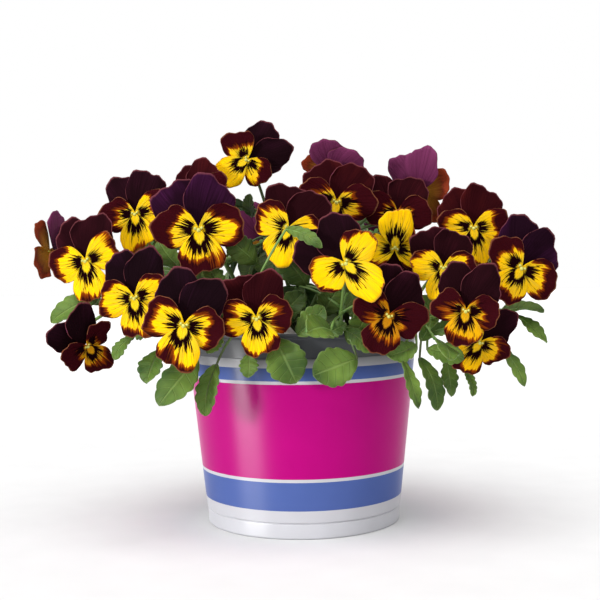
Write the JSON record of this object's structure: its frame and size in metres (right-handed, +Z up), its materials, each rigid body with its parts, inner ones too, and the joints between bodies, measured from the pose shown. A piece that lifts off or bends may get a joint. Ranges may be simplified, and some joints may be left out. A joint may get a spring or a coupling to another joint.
{
  "type": "potted pansy planter",
  "caption": "Round printed plastic pot filled with soil and pansies in full bloom, petals yellow, maroon and near-black over scalloped green leaves.",
  "frame": {"origin": "on the ground at the pot's axis, in the middle of the flat disc of its base", "axes": "+Z up, -Y the front that the picture shows, +X to the right of that front"},
  "size_m": [0.3668, 0.258, 0.2947],
  "materials": {
    "printed_pot": "gloss",
    "soil": "matte",
    "face_petals": "satin",
    "back_petals": "satin",
    "greenery": "satin"
  },
  "bodies": {
    "root": {"pot": "printed_pot", "soil": "soil", "bloom_a_face_petals": "face_petals", "bloom_a_back_petals": "back_petals", "bloom_a2_face_petals": "face_petals", "bloom_a2_back_petals": "back_petals", "bloom_b_face_petals": "face_petals", "bloom_b_back_petals": "back_petals", "bloom_c_face_petals": "face_petals", "bloom_c_back_petals": "back_petals", "bloom_c2_face_petals": "face_petals", "bloom_c2_back_petals": "back_petals", "bloom_d_face_petals": "face_petals", "bloom_d_back_petals": "back_petals", "bloom_e_face_petals": "face_petals", "bloom_e_back_petals": "back_petals", "bloom_f_face_petals": "face_petals", "bloom_f_back_petals": "back_petals", "bloom_g_face_petals": "face_petals", "bloom_g_back_petals": "back_petals", "bloom_h_face_petals": "face_petals", "bloom_h_back_petals": "back_petals", "bloom_i_face_petals": "face_petals", "bloom_i_back_petals": "back_petals", "bloom_p_face_petals": "face_petals", "bloom_p_back_petals": "back_petals", "bloom_j_face_petals": "face_petals", "bloom_j_back_petals": "back_petals", "bloom_k_face_petals": "face_petals", "bloom_k_back_petals": "back_petals", "bloom_q_face_petals": "face_petals", "bloom_q_back_petals": "back_petals", "bloom_o_face_petals": "face_petals", "bloom_o_back_petals": "back_petals", "bloom_l_face_petals": "face_petals", "bloom_l_back_petals": "back_petals", "bloom_m_face_petals": "face_petals", "bloom_m_back_petals": "back_petals", "bloom_n_face_petals": "face_petals", "bloom_n_back_petals": "back_petals", "bloom_r_face_petals": "face_petals", "bloom_r_back_petals": "back_petals", "bloom_s_face_petals": "face_petals", "bloom_s_back_petals": "back_petals", "bloom_t_face_petals": "face_petals", "bloom_t_back_petals": "back_petals", "bloom_u_face_petals": "face_petals", "bloom_u_back_petals": "back_petals", "bloom_w_face_petals": "face_petals", "bloom_w_back_petals": "back_petals", "bloom_x_face_petals": "face_petals", "bloom_x_back_petals": "back_petals", "bloom_y_face_petals": "face_petals", "bloom_y_back_petals": "back_petals", "bloom_z_face_petals": "face_petals", "bloom_z_back_petals": "back_petals", "plant_left": "greenery", "plant_right": "greenery", "plant_back": "greenery"}
  },
  "joints": []
}
